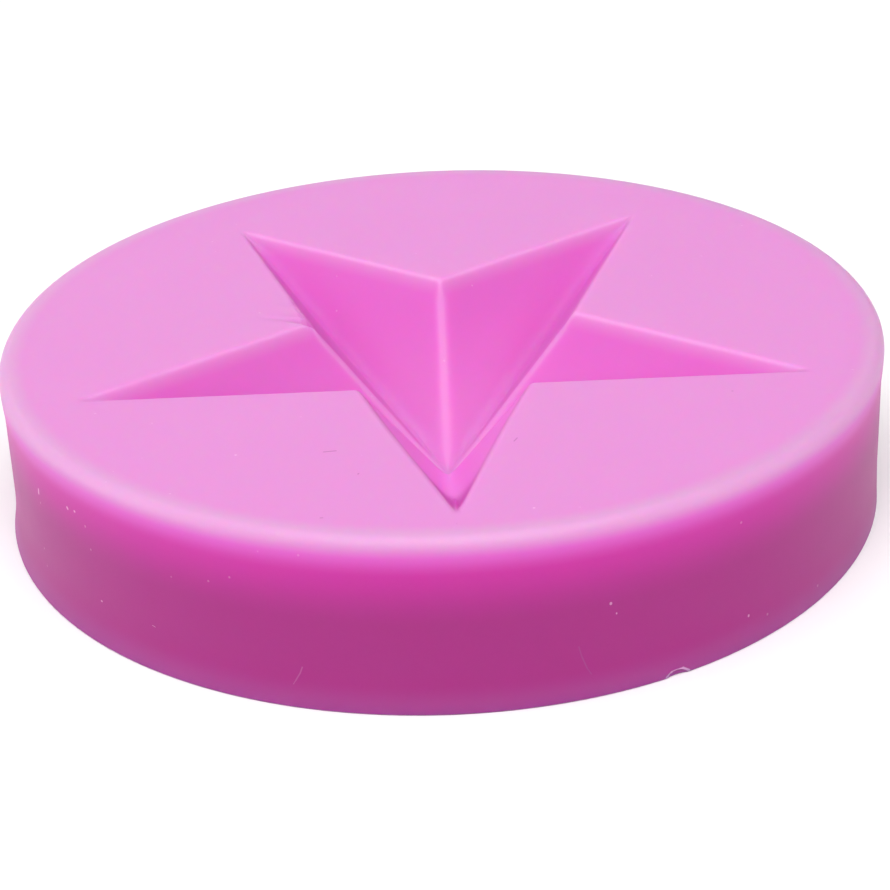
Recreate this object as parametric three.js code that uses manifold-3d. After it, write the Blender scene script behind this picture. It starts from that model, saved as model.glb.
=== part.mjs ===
// Star mould for casting resin: one round block of silicone rubber, with a faceted
// five-pointed star sunk into its upper face.
//
// Millimetres, +Z up. The origin is the centre of the underside, on the bench. The
// star's first tip points along -Y.

import * as THREE from "three";
import { mergeVertices } from "three/addons/utils/BufferGeometryUtils.js";
import Module from "manifold-3d";

const wasm = await Module();
wasm.setup();

// ---- Driving dimensions ----

const mouldHeight = 14;
const rimRadius = 35; // the widest part of the wall, just under the upper edge
const waistRadius = 34.86; // the wall is drawn in a little at mid height
const footRadius = 35.32; // and flares again where the wet rubber crept outwards

const rimRounding = 0.9; // radius of the upper outer edge
const swellHeight = 3.5; // how far below the upper face the wall starts to swell
const flareHeight = 4; // how far up the wall the flare of the foot reaches
const footRounding = 0.15;

const starTipRadius = 28.8;
const starInnerRadius = 11.2; // radius of the corners between two arms
const starDepth = 12.6; // at the star's centre, so 1.4 mm of rubber is left there
const starCentre = new THREE.Vector2(0.15, -2.1); // a little nearer the front
const starPoints = 5;

const roundSides = 96;
const roundingSteps = 5;
const wallSteps = 8;
const cutterOverrun = 2; // the star's cutter stands this far out of the upper face

const rubberColour = 0xee9bdc;

// ---- Shapes ----

// The closed solid that a geometry describes. Points that coincide are merged first,
// and triangles that shrank to a line on the axis are left out.
function solidOf(geometry) {
  const bare = geometry.clone();
  bare.deleteAttribute("normal");
  bare.deleteAttribute("uv");
  const merged = mergeVertices(bare, 1e-4);
  const corners = [];
  for (let i = 0; i < merged.index.count; i += 3) {
    const [a, b, c] = merged.index.array.slice(i, i + 3);
    if (a !== b && b !== c && c !== a) corners.push(a, b, c);
  }
  return new wasm.Manifold(
    new wasm.Mesh({
      numProp: 3,
      vertProperties: new Float32Array(merged.attributes.position.array),
      triVerts: new Uint32Array(corners),
    }),
  );
}

// The triangles of a solid, as a geometry with flat-shaded faces.
function geometryOf(solid) {
  const mesh = solid.getMesh();
  const indexed = new THREE.BufferGeometry();
  indexed.setAttribute("position", new THREE.BufferAttribute(mesh.vertProperties, 3));
  indexed.setIndex(new THREE.BufferAttribute(mesh.triVerts, 1));
  const geometry = indexed.toNonIndexed();
  geometry.computeVertexNormals();
  return geometry;
}

// A profile of [radius, height] points from the axis, out, up and back to the axis,
// turned round +Z. Its first side starts towards -Y.
function turned(profile, sides) {
  const points = profile.map(([radius, height]) => new THREE.Vector2(radius, height));
  return new THREE.LatheGeometry(points, sides).rotateX(Math.PI / 2);
}

// The wall's radius at a height: the waist, plus a flare that grows with the square of
// the distance into the foot, plus a smooth swell below the rim.
function wallRadius(height) {
  const intoFoot = Math.max(0, 1 - height / flareHeight);
  const swellStart = mouldHeight - swellHeight;
  const intoSwell = THREE.MathUtils.smoothstep(height, swellStart, mouldHeight - rimRounding);
  const flare = (footRadius - waistRadius) * intoFoot ** 2;
  const swell = (rimRadius - waistRadius) * intoSwell;
  return waistRadius + flare + swell;
}

// A quarter circle of [radius, height] points about a centre, from one angle to another.
function arc(centreRadius, centreHeight, rounding, fromAngle, toAngle) {
  const points = [];
  for (let step = 0; step <= roundingSteps; step += 1) {
    const angle = fromAngle + ((toAngle - fromAngle) * step) / roundingSteps;
    points.push([
      centreRadius + rounding * Math.cos(angle),
      centreHeight + rounding * Math.sin(angle),
    ]);
  }
  return points;
}

// The block before the star is sunk: underside, rounded foot, wall, rounded rim, top.
function roundBlock() {
  const footEdge = wallRadius(footRounding) - footRounding;
  const rimEdge = rimRadius - rimRounding;
  const wallBottom = footRounding;
  const wallTop = mouldHeight - rimRounding;
  const wall = [];
  for (let step = 1; step < wallSteps; step += 1) {
    const height = wallBottom + ((wallTop - wallBottom) * step) / wallSteps;
    wall.push([wallRadius(height), height]);
  }
  return turned(
    [
      [0, 0],
      ...arc(footEdge, footRounding, footRounding, -Math.PI / 2, 0),
      ...wall,
      ...arc(rimEdge, wallTop, rimRounding, 0, Math.PI / 2),
      [0, mouldHeight],
    ],
    roundSides,
  );
}

// The tool that sinks the star: a cone with two sides for each arm, standing on its
// point, whose every second corner is drawn in from the tips' radius to the inner
// corners'. Above the upper face it goes straight up, to cut right through it.
function starCutter() {
  const floorHeight = mouldHeight - starDepth;
  const profile = [
    [0, floorHeight],
    [starTipRadius, mouldHeight],
    [starTipRadius, mouldHeight + cutterOverrun],
    [0, mouldHeight + cutterOverrun],
  ];
  const cutter = turned(profile, 2 * starPoints);
  const position = cutter.attributes.position;
  const drawnIn = starInnerRadius / starTipRadius;
  for (let i = 0; i < position.count; i += 1) {
    const corner = Math.floor(i / profile.length);
    const scale = corner % 2 === 1 ? drawnIn : 1;
    position.setXY(i, position.getX(i) * scale, position.getY(i) * scale);
  }
  return cutter.translate(starCentre.x, starCentre.y, 0);
}

// ---- The part ----

function mouldBody() {
  const solid = solidOf(roundBlock()).subtract(solidOf(starCutter()));
  const rubber = new THREE.MeshStandardMaterial({
    color: rubberColour,
    roughness: 0.5,
    metalness: 0,
    flatShading: true,
  });
  const mesh = new THREE.Mesh(geometryOf(solid), rubber);
  mesh.name = "mould_body";
  return mesh;
}

const castingMould = new THREE.Group();
castingMould.add(mouldBody());

export default castingMould;
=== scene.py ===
"""Star mould for casting resin: the looks of its one piece of pink silicone rubber.

Metres, +Z up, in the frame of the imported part: the mould stands on z = 0, centred on
the origin, and the front tip of its star points along -Y. The skin made here takes the
place of the part's plain solid and stays inside its box.
"""

import math

import bpy
import numpy as np
from mathutils import Matrix, Vector


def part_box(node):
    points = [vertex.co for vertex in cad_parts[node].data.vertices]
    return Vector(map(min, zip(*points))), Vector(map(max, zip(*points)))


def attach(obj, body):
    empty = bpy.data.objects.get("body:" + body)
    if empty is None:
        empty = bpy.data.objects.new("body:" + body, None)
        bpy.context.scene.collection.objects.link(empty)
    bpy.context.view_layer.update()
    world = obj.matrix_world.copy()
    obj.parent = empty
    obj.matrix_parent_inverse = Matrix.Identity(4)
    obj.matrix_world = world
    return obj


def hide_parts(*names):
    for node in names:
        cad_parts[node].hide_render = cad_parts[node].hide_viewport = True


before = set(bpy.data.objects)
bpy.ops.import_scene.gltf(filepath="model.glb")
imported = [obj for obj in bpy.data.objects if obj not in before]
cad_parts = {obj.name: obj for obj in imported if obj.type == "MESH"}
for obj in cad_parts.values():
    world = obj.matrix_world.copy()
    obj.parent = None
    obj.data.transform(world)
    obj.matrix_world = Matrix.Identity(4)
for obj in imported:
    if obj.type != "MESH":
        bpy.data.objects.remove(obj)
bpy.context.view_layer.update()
node_low, node_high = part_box("mould_body")

MM = 0.001

# ---- Sizes of the mould ----

MOULD_HEIGHT = node_high.z - node_low.z
RIM_RADIUS = 35.0 * MM
WAIST_RADIUS = 34.86 * MM
RIM_ROUNDING = 0.9 * MM
FLAT_RADIUS = RIM_RADIUS - RIM_ROUNDING  # where the flat upper face ends
WALL_TOP = MOULD_HEIGHT - RIM_ROUNDING
WALL_WAVES = 0.018 * MM  # height of the slow waves round the wall
SWELL_HEIGHT = 3.5 * MM  # how far below the upper face the wall starts to swell
FLARE_HEIGHT = 4.0 * MM  # how far up the wall the flare of the foot reaches
FOOT_FLARE = 0.27 * MM  # how far the foot stands out of the waist, on average
FOOT_LEAN = 0.15 * MM  # how much more it does on the left, and less on the right
FOOT_ROUNDING = 0.15 * MM

TIP_RADIUS = 29.3 * MM  # of the sharp star; the rounding of its edges shortens the tips
INNER_RADIUS = 11.2 * MM  # radius of the corners between two arms
STAR_DEPTH = 12.6 * MM
STAR_CENTRE = (0.15 * MM, -2.1 * MM)
HALF_ARM = math.pi / 5  # from a tip to the next inner corner, round the star's centre
EDGE_ROUNDING = 0.34 * MM  # how far from the star's outline its rounding reaches
RIDGE_ROUNDING = 0.90 * MM  # and from the ridges and valleys between its facets
VALLEY_WIDTH = 1.6 * MM  # and how far the painted shade of a valley reaches to each side
FRONT_LEAN = 0.44 * MM  # how far the tip of the front arm leans to the right

NICK_ANGLE = math.radians(-63.1)  # the nick in the edge of the foot, round the mould
NICK_HALF_LENGTH = math.radians(1.6)
NICK_HEIGHT = 0.55 * MM
NICK_DEPTH = 0.16 * MM
FOOT_LIP = 1.4 * MM  # width of the raised lip round the poured underside
FOOT_DISH = 0.12 * MM  # how far the underside is hollowed inside that lip

# ---- The surface, as heights over points ----


def folded(x, y):
    """Distances along the nearest arm of the star and across from its middle line: the
    angle round the centre is folded into half an arm.
    """
    radius = np.hypot(x, y)
    turn = np.arctan2(x, -y)
    angle = np.abs((turn + HALF_ARM) % (2 * HALF_ARM) - HALF_ARM)
    return radius * np.cos(angle), radius * np.sin(angle)


def star_share(x, y):
    """How far out towards the star's outline a point lies: 0 at its centre, 1 on it.
    Within half an arm the outline is one straight edge, so the share is a plain sum of
    the two distances along and across.
    """
    along, across = folded(x, y)
    inner_along = INNER_RADIUS * math.cos(HALF_ARM)
    inner_across = INNER_RADIUS * math.sin(HALF_ARM)
    per_across = (1 - inner_along / TIP_RADIUS) / inner_across
    return along / TIP_RADIUS + across * per_across


def sharp_depth(x, y):
    """Depth of the star with sharp edges: it falls from the centre to the outline in
    proportion to the share.
    """
    return STAR_DEPTH * np.maximum(0, 1 - star_share(x, y))


def rounding_reach(x, y):
    """How far the rounding reaches from an edge: more along the ridges and valleys than
    at the star's outline and its centre.
    """
    centre_share = 0.16
    outline_share = 0.985
    outline_fade = 0.10
    share = star_share(x, y)
    from_centre = smooth(np.clip(share / centre_share, 0, 1))
    from_outline = smooth(np.clip((outline_share - share) / outline_fade, 0, 1))
    return EDGE_ROUNDING + (RIDGE_ROUNDING - EDGE_ROUNDING) * from_centre * from_outline


def star_depth(x, y):
    """Depth of the star with rounded edges: the mean of the sharp depth over a small
    disc round each point.
    """
    rings = 4
    total = sharp_depth(x, y)
    count = 1
    for ring in range(1, rings + 1):
        reach = rounding_reach(x, y) * ring / rings
        for angle in np.arange(6 * ring) * (2 * math.pi / (6 * ring)):
            total = total + sharp_depth(x + reach * math.cos(angle), y + reach * math.sin(angle))
            count += 1
    return total / count


def chips(x, y):
    """Depth of the small faults in the cast surface: a notch and a few chips by the
    inner corner between the left and the back left arm, and a bump in the valley of the
    front arm, each a smooth round dent.
    """
    faults = [
        (-10.7, 1.85, 0.42, 0.85),  # x, y, size and depth, in millimetres
        (-11.15, 3.0, 0.22, 0.35),
        (-11.4, 4.1, 0.20, 0.30),
        (-11.9, 5.4, 0.25, 0.30),
        (0.1, -27.6, 0.28, -0.20),
    ]
    depth = 0 * x
    for fault_x, fault_y, size, dent in faults:
        distance = np.hypot(x - fault_x * MM, y - fault_y * MM)
        depth = depth + dent * MM * np.exp(-((distance / (size * MM)) ** 2))
    return depth


def wall_radius(height, angle):
    """Radius of the wall at a height and an angle round the mould: the waist, plus a
    flare that grows with the square of the way into the foot, plus a smooth swell
    below the rim, plus waves of a few hundredths of a millimetre.
    """
    into_foot = np.clip(1 - height / FLARE_HEIGHT, 0, 1)
    swell_start = MOULD_HEIGHT - SWELL_HEIGHT
    swell_length = SWELL_HEIGHT - RIM_ROUNDING
    into_swell = smooth(np.clip((height - swell_start) / swell_length, 0, 1))
    flare = FOOT_FLARE - FOOT_LEAN * np.cos(angle)
    swell = RIM_RADIUS - WAIST_RADIUS
    between = np.sin(np.pi * np.clip(height / MOULD_HEIGHT, 0, 1))
    waves = np.sin(3 * angle + 0.8) + 0.6 * np.sin(7 * angle + 260 * height)
    radius = WAIST_RADIUS + flare * into_foot**2 + swell * into_swell
    return radius + WALL_WAVES * waves * between - nick(height, angle)


def nick(height, angle):
    """Depth of the lens-shaped nick in the edge of the foot: deepest in its middle, with
    a steep upper side. Its upper edge is a parabola over the angle.
    """
    steepness = 4
    not_zero = 1e-9
    along = np.clip(1 - ((angle - NICK_ANGLE) / NICK_HALF_LENGTH) ** 2, 0, 1)
    below_top = np.clip(1 - height / (NICK_HEIGHT * along + not_zero), 0, 1)
    return NICK_DEPTH * along * smooth(np.clip(steepness * below_top, 0, 1))


def smooth(share):
    """The share from 0 to 1, eased in and out."""
    return share * share * (3 - 2 * share)


# ---- The skin ----


def ray_angles():
    """Angles round the star's centre, crowded towards the ten lines where its facets
    meet: from one line to the next the step follows 1 - crowding * cos.
    """
    facet_count = 10
    nick_facet = 0  # the nick in the foot is below this one, so it has more columns
    crowding = 0.93
    facets = []
    for facet in range(facet_count):
        columns = 110 if facet == nick_facet else 40
        even = np.arange(columns) / columns
        crowded = even - crowding * np.sin(2 * np.pi * even) / (2 * np.pi)
        facets.append((facet + crowded) * HALF_ARM)
    return np.concatenate(facets)


def edge_marks(x, y):
    """How far a point lies on an outward edge: what the rounding took off it, as a share
    of the most that it takes off.
    """
    most_taken = 0.28 * rounding_reach(x, y)
    return np.maximum((star_depth(x, y) - sharp_depth(x, y)) / most_taken, 0)


def shade_marks(x, y):
    """1 in the valleys, apart from the star's centre and its tips, and 1 where the
    surface slopes down towards the back.
    """
    step = 0.05 * MM
    full_slope = 0.3
    slope = (star_depth(x, y + step) - star_depth(x, y - step)) / (2 * step)
    turned_back = smooth(np.clip(slope / full_slope, 0, 1))
    along, from_valley = folded(x, y)
    valley = np.exp(-((from_valley / VALLEY_WIDTH) ** 2))
    out_of_centre = np.clip(along / INNER_RADIUS, 0, 1)
    before_tip = np.clip((0.9 * TIP_RADIUS - along) / INNER_RADIUS, 0, 1)
    return np.maximum(turned_back, valley * out_of_centre * before_tip)


def lean_of_front_arm(x, y):
    """How far a point moves to the right: it grows along the front arm to its tip, and
    fades away on both sides of it.
    """
    reach = 6 * MM
    into_arm = np.clip((-y - INNER_RADIUS) / (TIP_RADIUS - INNER_RADIUS), 0, 1)
    return FRONT_LEAN * smooth(into_arm) * np.exp(-((x / reach) ** 2))


def upper_face_rows(angles):
    """Rows of points from the star's centre out to the start of the rounded rim. Each
    point has its x, y and z, its edge mark and its shade mark.

    Up to a little outside the star each row is the star's outline at a scale; from
    there the rows ease over into circles. Heights are the upper face less the depth.
    """
    beyond = 1.05  # the scale of the last row that has the star's outline
    centre_rows, facet_rows, outline_rows, outer_rows = 13, 30, 36, 12
    centre_end, facet_end = 0.1, 0.93
    scales = np.concatenate(
        [
            np.linspace(0, centre_end, centre_rows + 1, endpoint=False)[1:],
            np.linspace(centre_end, facet_end, facet_rows, endpoint=False),
            np.linspace(facet_end, beyond, outline_rows),
        ]
    )
    across = np.sin(angles)
    down = -np.cos(angles)
    outline = 1 / star_share(across, down)
    centre_x, centre_y = STAR_CENTRE
    towards = centre_x * across + centre_y * down
    off_centre = centre_x**2 + centre_y**2
    to_rim = -towards + np.sqrt(towards**2 + FLAT_RADIUS**2 - off_centre)
    ways = np.linspace(0, 1, outer_rows + 1)[1:]
    inner = scales[:, None] * outline
    outer = beyond * outline + ways[:, None] * (to_rim - beyond * outline)
    reach = np.concatenate([inner, outer])
    x = reach * across
    y = reach * down
    z = MOULD_HEIGHT - star_depth(x, y) - chips(x + centre_x, y + centre_y)
    free_to_lean = np.concatenate([np.ones(len(scales)), 1 - ways])[:, None]
    leaning_x = x + lean_of_front_arm(x, y) * free_to_lean
    marks = [edge_marks(x, y), shade_marks(x, y)]
    return np.stack([leaning_x + centre_x, y + centre_y, z, *marks], axis=-1)


def side_rows(angles):
    """Rows of points from the rounded rim down the wall, round the foot and in along
    the underside, as circles round the mould's own axis: a quarter circle, the wall's
    radius over the height, another quarter circle, and a dish inside a raised lip.
    """
    rim_steps, wall_steps, nick_steps, foot_steps, lip_steps, under_steps = 10, 31, 13, 6, 8, 11
    past_rim = np.linspace(np.pi / 2, 0, rim_steps + 1)[1:]
    to_wall = wall_radius(WALL_TOP, angles) - FLAT_RADIUS
    rim_out = FLAT_RADIUS + to_wall * np.cos(past_rim)[:, None]
    rim_up = WALL_TOP + RIM_ROUNDING * np.sin(past_rim)

    nick_top = 0.9 * MM  # below it the rows are closer together
    wall_up = np.concatenate(
        [
            np.linspace(WALL_TOP, nick_top, wall_steps + 1)[1:],
            np.linspace(nick_top, FOOT_ROUNDING, nick_steps + 1)[1:],
        ]
    )
    wall_out = wall_radius(wall_up[:, None], angles)

    past_foot = np.linspace(0, np.pi / 2, foot_steps + 1)[1:]
    foot_reach = wall_radius(FOOT_ROUNDING, angles) - FOOT_ROUNDING
    foot_out = foot_reach + FOOT_ROUNDING * np.cos(past_foot)[:, None]
    foot_up = FOOT_ROUNDING - FOOT_ROUNDING * np.sin(past_foot)

    lip_end = 0.94
    inwards = np.concatenate(
        [
            np.linspace(1, lip_end, lip_steps + 1)[1:],
            np.linspace(lip_end, 0, under_steps + 2)[1:-1],
        ]
    )
    under_out = foot_reach * inwards[:, None]
    under_up = FOOT_DISH * smooth(np.clip((1 - inwards) * RIM_RADIUS / FOOT_LIP, 0, 1))

    out = np.concatenate([rim_out, wall_out, foot_out, under_out])
    up = np.concatenate([rim_up, wall_up, foot_up, under_up])
    x = out * np.cos(angles)
    y = out * np.sin(angles)
    z = np.broadcast_to(up[:, None], x.shape)
    return np.stack([x, y, z, 0 * x, 0 * x], axis=-1)


def closed_skin(name, rows, first, last):
    """A closed mesh of rings of points: quads between neighbouring rings, and a fan of
    triangles from the first ring to one point and from the last ring to another. The
    last two numbers of each point are kept as the attributes "edge" and "shade".
    """
    ring_count, ring_size = rows.shape[:2]
    points = np.concatenate([[first], rows.reshape(-1, 5), [last]])
    here = np.arange(ring_size)
    after = (here + 1) % ring_size
    ring_start = 1 + ring_size * np.arange(ring_count - 1)[:, None]
    inner = ring_start + here
    outer = inner + ring_size
    quads = np.stack(
        [inner, outer, ring_start + ring_size + after, ring_start + after], axis=-1
    )
    last_ring = 1 + ring_size * (ring_count - 1)
    first_fan = np.stack([np.zeros_like(here), 1 + here, 1 + after], axis=-1)
    last_point = np.full_like(here, len(points) - 1)
    last_fan = np.stack([last_point, last_ring + after, last_ring + here], axis=-1)
    faces = quads.reshape(-1, 4).tolist() + first_fan.tolist() + last_fan.tolist()
    mesh = bpy.data.meshes.new(name)
    mesh.from_pydata(points[:, :3].tolist(), [], faces)
    for attribute, values in (("edge", points[:, 3]), ("shade", points[:, 4])):
        mesh.attributes.new(attribute, "FLOAT", "POINT").data.foreach_set("value", values)
    mesh.shade_smooth()
    mesh.update()
    piece = bpy.data.objects.new(name, mesh)
    bpy.context.scene.collection.objects.link(piece)
    return piece


def mould_skin():
    """The whole outer surface of the mould, from the star's centre to the middle of
    the underside.
    """
    upper = upper_face_rows(ray_angles())
    rim = upper[-1]
    rim_angles = np.arctan2(rim[:, 1], rim[:, 0])
    rows = np.concatenate([upper, side_rows(rim_angles)])
    centre_x, centre_y = STAR_CENTRE
    floor_height = MOULD_HEIGHT - float(star_depth(np.zeros(1), np.zeros(1))[0])
    star_floor = (centre_x, centre_y, floor_height, 0, 0)
    under_middle = (0, 0, FOOT_DISH, 0, 0)
    return closed_skin("mould_skin", rows, star_floor, under_middle)


# ---- The silicone ----


class Value:
    """A number or vector inside a material, which plain sums and products work on."""

    def __init__(self, recipe, socket):
        self.recipe = recipe
        self.socket = socket

    def maths(self, operation, *others, clamp=False):
        settings = {"operation": operation, "use_clamp": clamp}
        return self.recipe.node("ShaderNodeMath", settings, dict(enumerate((self, *others))))

    def __add__(self, other):
        return self.maths("ADD", other)

    def __radd__(self, other):
        return self.maths("ADD", other)

    def __sub__(self, other):
        return self.maths("SUBTRACT", other)

    def __rsub__(self, other):
        return self.maths("MULTIPLY_ADD", -1, other)  # itself times -1, plus the other

    def __mul__(self, other):
        return self.maths("MULTIPLY", other)

    def __rmul__(self, other):
        return self.maths("MULTIPLY", other)

    def clamped(self):
        return self.maths("ADD", 0, clamp=True)

    def root(self):
        return self.maths("SQRT")

    def fade(self, start, end):
        """0 up to start, 1 from end on, and eased between the two."""
        settings = {"interpolation_type": "SMOOTHSTEP"}
        inputs = {"Value": self, "From Min": start, "From Max": end}
        return self.recipe.node("ShaderNodeMapRange", settings, inputs, "Result")


class Recipe:
    """The nodes of one material."""

    def __init__(self, name):
        self.material = bpy.data.materials.new(name)
        self.material.use_nodes = True
        self.nodes = self.material.node_tree.nodes
        self.links = self.material.node_tree.links
        self.nodes.clear()
        self.place = self.node("ShaderNodeTexCoord", output="Object")

    def node(self, kind, settings=None, inputs=None, output=0):
        """Adds a node: its settings first, then the values or links of its sockets."""
        made = self.nodes.new(kind)
        for name, setting in (settings or {}).items():
            setattr(made, name, setting)
        for name, value in (inputs or {}).items():
            if isinstance(value, Value):
                self.links.new(value.socket, made.inputs[name])
            else:
                made.inputs[name].default_value = value
        return Value(self, made.outputs[output])

    def vector(self, operation, first, second):
        """One step of Vector Math on two vectors, whose result may be a number."""
        output = "Value" if operation in ("DOT_PRODUCT", "DISTANCE") else "Vector"
        inputs = {0: first, 1: second}
        return self.node("ShaderNodeVectorMath", {"operation": operation}, inputs, output)

    def noise(self, size, detail):
        """Clouds about one size across, from 0 to 1."""
        inputs = {"Vector": self.place, "Scale": 1 / size, "Detail": detail}
        return self.node("ShaderNodeTexNoise", {}, inputs, "Fac")

    def mix(self, share, first, second):
        """The first colour where the share is 0 and the second where it is 1. The node
        has sockets of every type, so the colours' own are given by number.
        """
        return self.node("ShaderNodeMix", {"data_type": "RGBA"}, {0: share, 6: first, 7: second}, 2)

    def parts(self, vector):
        """The three numbers of a vector."""
        split = self.node("ShaderNodeSeparateXYZ", {}, {"Vector": vector}).socket.node
        return [Value(self, socket) for socket in split.outputs]

    def mark(self, name):
        """One of the marks that the skin's points carry."""
        return self.node("ShaderNodeAttribute", {"attribute_name": name}, {}, "Fac")

    def finish(self, shader):
        """The material, with this shader as its surface."""
        output = self.nodes.new("ShaderNodeOutputMaterial")
        self.links.new(shader.socket, output.inputs["Surface"])
        return self.material


UPPER_LIT_PINK = (0.68, 0.25, 0.585, 1)  # the upper face, matt from the board it set against: paler, with painted sheen and light from above
POCKET_SHADE_PINK = (0.70, 0.145, 0.565, 1)  # the star's facets near the upper face: deeper, painted shade of the pocket
CENTRE_LIT_PINK = (0.70, 0.225, 0.60, 1)  # and towards the star's centre: paler, painted light
FRONT_PINK = (0.84, 0.185, 0.68, 1)  # the front arm, lit through the thin wall outside it
RIDGE_HIGHLIGHT_PINK = (0.73, 0.36, 0.66, 1)  # the ridges between two arms: painted highlight
SHADED_PINK = (0.56, 0.03, 0.37, 1)  # the valleys and the facets turned to the back
EDGE_PINK = (0.63, 0.33, 0.58, 1)  # where light passes through a rounded edge
RIM_GLOW_PINK = (0.69, 0.125, 0.58, 1)  # the wall just under the rounded rim: painted glow of light coming in through the rim
SHOULDER_PINK = (0.60, 0.022, 0.37, 1)  # and a few millimetres further down, where the painted glow fades into painted shade
WALL_SHADE_PINK = (0.38, 0.017, 0.225, 1)  # the wall, polished by the tube it set in: its darker pink is painted shade
FOOT_PINK = (0.38, 0.05, 0.275, 1)  # the flare of the foot, paler from the bench's light

# The wall's pinks down from its rounded edge, which paint its light and shade: how many
# millimetres below the upper face each one starts, and where it has replaced the one above.
WALL_BANDS = [
    (0.3, 1.6, RIM_GLOW_PINK),
    (1.1, 3.0, SHOULDER_PINK),
    (1.8, 7.0, WALL_SHADE_PINK),
    (11.5, 14.0, FOOT_PINK),
]

DUST = (0.90, 0.62, 0.83, 1)
SCRATCH = (0.35, 0.08, 0.28, 1)

# Marks in the rubber and dust on it, as short straight lines: where each one starts,
# where it ends, and its half width in millimetres. A place on the wall is an angle
# round the mould, with -90 at the front, and a height. On the upper face it is x and y.
WALL_LINT = [
    ((-150.8, 9.3), (-150.7, 9.65), 0.15),
    ((-142.6, 10.15), (-142.7, 10.2), 0.15),
    ((-140.95, 10.3), (-141.05, 10.3), 0.12),
    ((-137.25, 3.7), (-137.15, 3.7), 0.10),
    ((-128.2, 3.7), (-127.7, 3.65), 0.03),
    ((-71.6, 7.3), (-71.6, 7.35), 0.13),
    ((-70.9, 6.4), (-70.9, 6.45), 0.07),
    ((-52.3, 2.5), (-52.3, 2.55), 0.12),
    ((-64.6, 0.15), (-63.9, 0.45), 0.13),  # the thin upper side of the nick
    ((-63.9, 0.45), (-62.3, 0.5), 0.13),
    ((-62.3, 0.5), (-61.5, 0.15), 0.13),
]
FACE_LINT = [
    ((5.9, -31.05), (5.95, -31.05), 0.10),
    ((-15.15, -21.25), (-15.1, -21.25), 0.10),
]
WALL_HAIRS = [
    ((-107.7, 3.3), (-108.0, 2.8), 0.07),
    ((-108.0, 2.8), (-108.6, 2.15), 0.07),
    ((-108.6, 2.15), (-108.9, 1.85), 0.05),
]
WALL_SCRATCHES = [
    ((-75.55, 4.35), (-75.2, 3.5), 0.06),
    ((-75.2, 3.5), (-74.6, 2.5), 0.07),
    ((-74.6, 2.5), (-74.1, 1.95), 0.05),
]
FACE_SCRATCHES = [
    ((-8.75, -21.35), (-7.9, -21.25), 0.11),
    ((-6.25, -25.0), (-6.2, -24.9), 0.09),
    ((-8.75, -31.2), (-8.6, -31.2), 0.09),
    ((5.0, -20.9), (5.25, -20.4), 0.08),
    ((21.6, -14.2), (21.65, -14.2), 0.09),
]


def on_wall(degrees, height):
    """The point on the wall at an angle round the mould and a height in millimetres."""
    angle = math.radians(degrees)
    radius = float(wall_radius(height * MM, angle))
    return Vector((radius * math.cos(angle), radius * math.sin(angle), height * MM))


def on_face(x, y):
    """The point on the upper face at an x and a y in millimetres."""
    return Vector((x * MM, y * MM, MOULD_HEIGHT))


def dust_specks(recipe, spacing, radius, kept):
    """1 on sparse round specks: near the middle of those cells whose random number is
    under the share kept.
    """
    settings = {"feature": "F1", "distance": "EUCLIDEAN"}
    inputs = {"Vector": recipe.place, "Scale": 1 / spacing, "Randomness": 1.0}
    distance = recipe.node("ShaderNodeTexVoronoi", settings, inputs, "Distance")
    colour = recipe.node("ShaderNodeTexVoronoi", settings, inputs, "Color")
    chance = recipe.node("ShaderNodeSeparateColor", {}, {"Color": colour}, "Red")
    near = 1 - distance.fade(0.5 * radius / spacing, radius / spacing)
    return near * (1 - chance.fade(kept, kept + 0.01))


def near_line(recipe, start, end, half_width):
    """1 close to the straight line between two points, and 0 beyond its half width."""
    core = 0.4  # the share of the half width up to which it is 1
    run = end - start
    offset = recipe.vector("SUBTRACT", recipe.place, start)
    way = recipe.vector("DOT_PRODUCT", offset, run / run.length_squared).clamped()
    scaled = {"operation": "SCALE"}
    nearest = recipe.node("ShaderNodeVectorMath", scaled, {0: run, "Scale": way}, "Vector")
    distance = recipe.vector("DISTANCE", offset, nearest)
    return 1 - distance.fade(core * half_width, half_width)


def on_marks(recipe, marks, to_point):
    """1 on any of these marks, whose ends become points on the mould by to_point."""
    return sum(
        near_line(recipe, to_point(*start), to_point(*end), half_width * MM)
        for start, end, half_width in marks
    )


def wall_share(recipe):
    """0 on the upper face and in the pocket, 1 on the wall and its rounded rim."""
    across, along, _ = recipe.parts(recipe.place)
    radius = (across * across + along * along).root()
    return radius.fade(32.7 * MM, 34.5 * MM)


def pocket_colour(recipe, inside, depth):
    """The pink of the upper face and the star's pocket, with light and shade painted in: a
    painted highlight on the ridges, painted shade in the valleys and on the facets turned
    to the back, and painted light in the front arm, with painted shade near its tip.
    """
    across, along, _ = recipe.parts(recipe.place)
    to_front = 0 - along
    beside_front_arm = across.maths("ABSOLUTE").fade(6 * MM, 9 * MM)
    towards_tip = to_front.fade(20 * MM, 30 * MM)
    below_face = inside * depth.fade(0, 1.3 * MM)
    front = below_face * to_front.fade(2 * MM, 7 * MM)
    front = front * (1 - beside_front_arm) * (1 - 0.8 * towards_tip)
    at_tip = inside * depth.fade(0, 0.6 * MM) * to_front.fade(23 * MM, 29 * MM)
    colour = recipe.mix(below_face, UPPER_LIT_PINK, POCKET_SHADE_PINK)
    colour = recipe.mix(inside * depth.fade(2 * MM, 11 * MM), colour, CENTRE_LIT_PINK)
    colour = recipe.mix(0.5 * recipe.mark("edge").fade(0, 1), colour, RIDGE_HIGHLIGHT_PINK)
    colour = recipe.mix(0.38 * recipe.mark("shade"), colour, SHADED_PINK)
    colour = recipe.mix(front, colour, FRONT_PINK)
    return recipe.mix(0.8 * at_tip, colour, SHADED_PINK)


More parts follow.
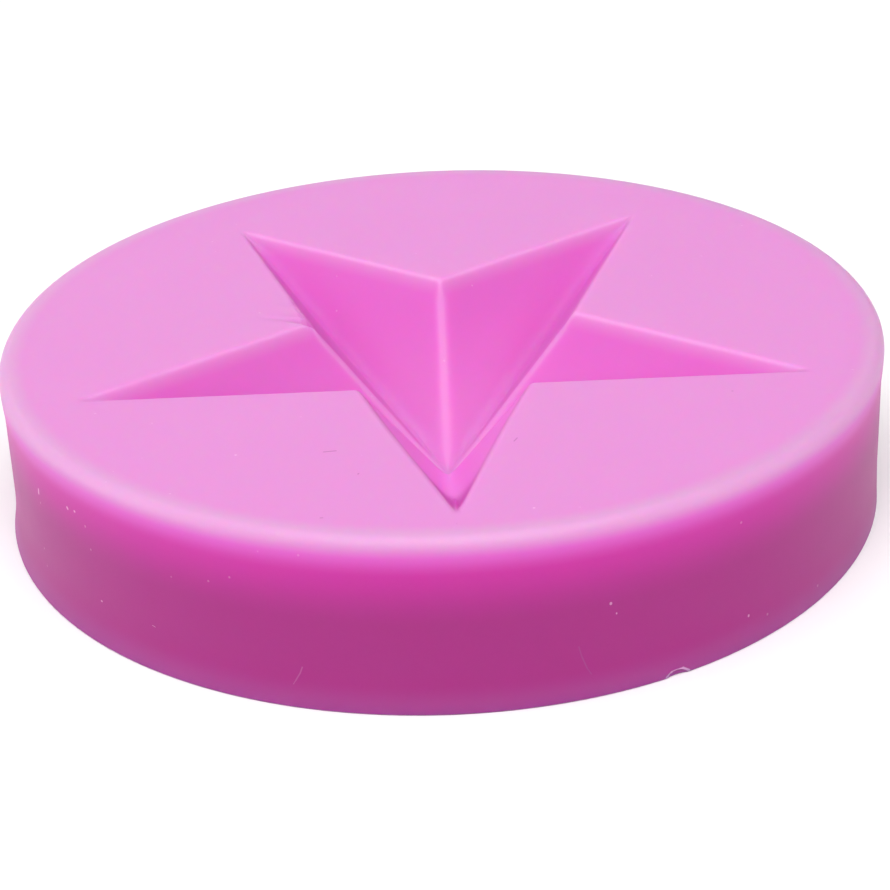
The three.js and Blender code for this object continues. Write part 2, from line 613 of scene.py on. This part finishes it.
def silicone_colour(recipe):
    """The pink of each stretch of the surface: upper face, pocket and wall, each with its light and
    shade painted in.
    """
    depth = MOULD_HEIGHT - recipe.parts(recipe.place)[2]
    outside = wall_share(recipe)
    colour = recipe.mix(outside, pocket_colour(recipe, 1 - outside, depth), EDGE_PINK)
    for start, full, pink in WALL_BANDS:
        colour = recipe.mix(outside * depth.fade(start * MM, full * MM), colour, pink)
    return colour


def pink_silicone():
    """Translucent silicone dyed pink right through, satin from the form it was cast in,
    with a little dust on it, and with light and shade painted into its pinks.
    """
    recipe = Recipe("pink_silicone")
    specks = dust_specks(recipe, spacing=2.2 * MM, radius=0.13 * MM, kept=0.4)
    clouds = recipe.noise(size=9 * MM, detail=1)
    ripples = recipe.noise(size=2.5 * MM, detail=1)
    grain = recipe.noise(size=0.12 * MM, detail=3)
    lint = on_marks(recipe, WALL_LINT, on_wall) + on_marks(recipe, FACE_LINT, on_face)
    hairs = on_marks(recipe, WALL_HAIRS, on_wall)
    scratches = on_marks(recipe, WALL_SCRATCHES, on_wall)
    scratches = scratches + on_marks(recipe, FACE_SCRATCHES, on_face)
    colour = recipe.mix(0.2 * specks, silicone_colour(recipe), DUST)
    colour = recipe.mix(0.5 * lint.clamped(), colour, DUST)
    colour = recipe.mix(0.12 * hairs.clamped(), colour, DUST)
    colour = recipe.mix(0.5 * scratches.clamped(), colour, SCRATCH)
    polish = wall_share(recipe)
    roughness = 0.60 - 0.22 * polish + 0.06 * clouds + 0.04 * grain
    height = 0.004 * MM * grain + 0.01 * MM * ripples + 0.02 * MM * specks
    relief = {"Strength": 1.0, "Distance": 1.0, "Height": height}
    rubber = {
        "Base Color": colour,
        "Roughness": roughness,
        "Normal": recipe.node("ShaderNodeBump", {}, relief, "Normal"),
        "IOR": 1.36,
        "Subsurface Weight": 1.0,
        "Subsurface Radius": (1.0, 0.2, 0.55),  # red light goes furthest through the dye
        "Subsurface Scale": 2.2 * MM,
    }
    settings = {"subsurface_method": "RANDOM_WALK"}
    return recipe.finish(recipe.node("ShaderNodeBsdfPrincipled", settings, rubber))


# ---- The stage, the light and the camera ----


def pale_floor():
    """A wide round floor, flush with the underside."""
    sides = 64
    radius = 3.0
    angles = np.arange(sides) * (2 * math.pi / sides)
    edge = np.stack([radius * np.cos(angles), radius * np.sin(angles), 0 * angles], -1)
    mesh = bpy.data.meshes.new("floor")
    mesh.from_pydata(edge.tolist(), [], [list(range(sides))])
    floor = bpy.data.objects.new("floor", mesh)
    bpy.context.scene.collection.objects.link(floor)
    recipe = Recipe("pale_floor")
    paint = {"Base Color": (0.96, 0.97, 0.96, 1), "Roughness": 0.8, "Specular IOR Level": 0.2}
    mesh.materials.append(recipe.finish(recipe.node("ShaderNodeBsdfPrincipled", {}, paint)))


def soft_light(name, place, size, watts):
    """A square soft box that faces the middle of the upper face."""
    light = bpy.data.lights.new(name, "AREA")
    light.shape = "SQUARE"
    light.size = size
    light.energy = watts
    lamp = bpy.data.objects.new(name, light)
    lamp.location = place
    towards = Vector((0, 0, MOULD_HEIGHT)) - Vector(place)
    lamp.rotation_euler = towards.to_track_quat("-Z", "Y").to_euler()
    bpy.context.scene.collection.objects.link(lamp)


def studio():
    """Soft light from overhead, weaker from the front, the back and the left and least
    from the right, and a dim white room.
    """
    soft_light("overhead", (0.0, -0.28, 0.97), size=1.0, watts=10.5)
    soft_light("front", (0.0, -0.75, 0.65), size=0.8, watts=4)
    soft_light("back", (-0.5, 0.95, 0.55), size=1.4, watts=3.5)
    soft_light("right", (1.0, -0.3, 0.4), size=0.7, watts=0.7)
    soft_light("left", (-1.0, 0.0, 0.35), size=0.7, watts=2.3)
    world = bpy.data.worlds.new("room")
    world.use_nodes = True
    background = world.node_tree.nodes["Background"]
    background.inputs["Color"].default_value = (1, 1, 1, 1)
    background.inputs["Strength"].default_value = 0.1
    bpy.context.scene.world = world
    bpy.context.scene.view_settings.view_transform = "Standard"


def camera():
    """A long lens a hand's reach in front of the mould, looking down on it and turned a
    little about its own line of sight.
    """
    rises = math.radians(24.4)  # of the camera as seen from the upper face's middle
    looks_down = math.radians(27.2)
    roll = math.radians(-2.4)
    distance = 197 * MM
    data = bpy.data.cameras.new("camera")
    data.sensor_width = 36
    data.lens = 99.7
    data.clip_start = 1 * MM
    seen = bpy.data.objects.new("camera", data)
    away = Vector((0, -math.cos(rises), math.sin(rises)))
    place = Vector((0, 0, MOULD_HEIGHT)) + distance * away
    tilt = Matrix.Rotation(math.pi / 2 - looks_down, 4, "X")
    seen.matrix_world = Matrix.Translation(place) @ tilt @ Matrix.Rotation(roll, 4, "Z")
    bpy.context.scene.collection.objects.link(seen)
    bpy.context.scene.camera = seen


camera()
studio()
pale_floor()

skin = mould_skin()
skin.data.materials.append(pink_silicone())
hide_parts("mould_body")
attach(skin, "root")
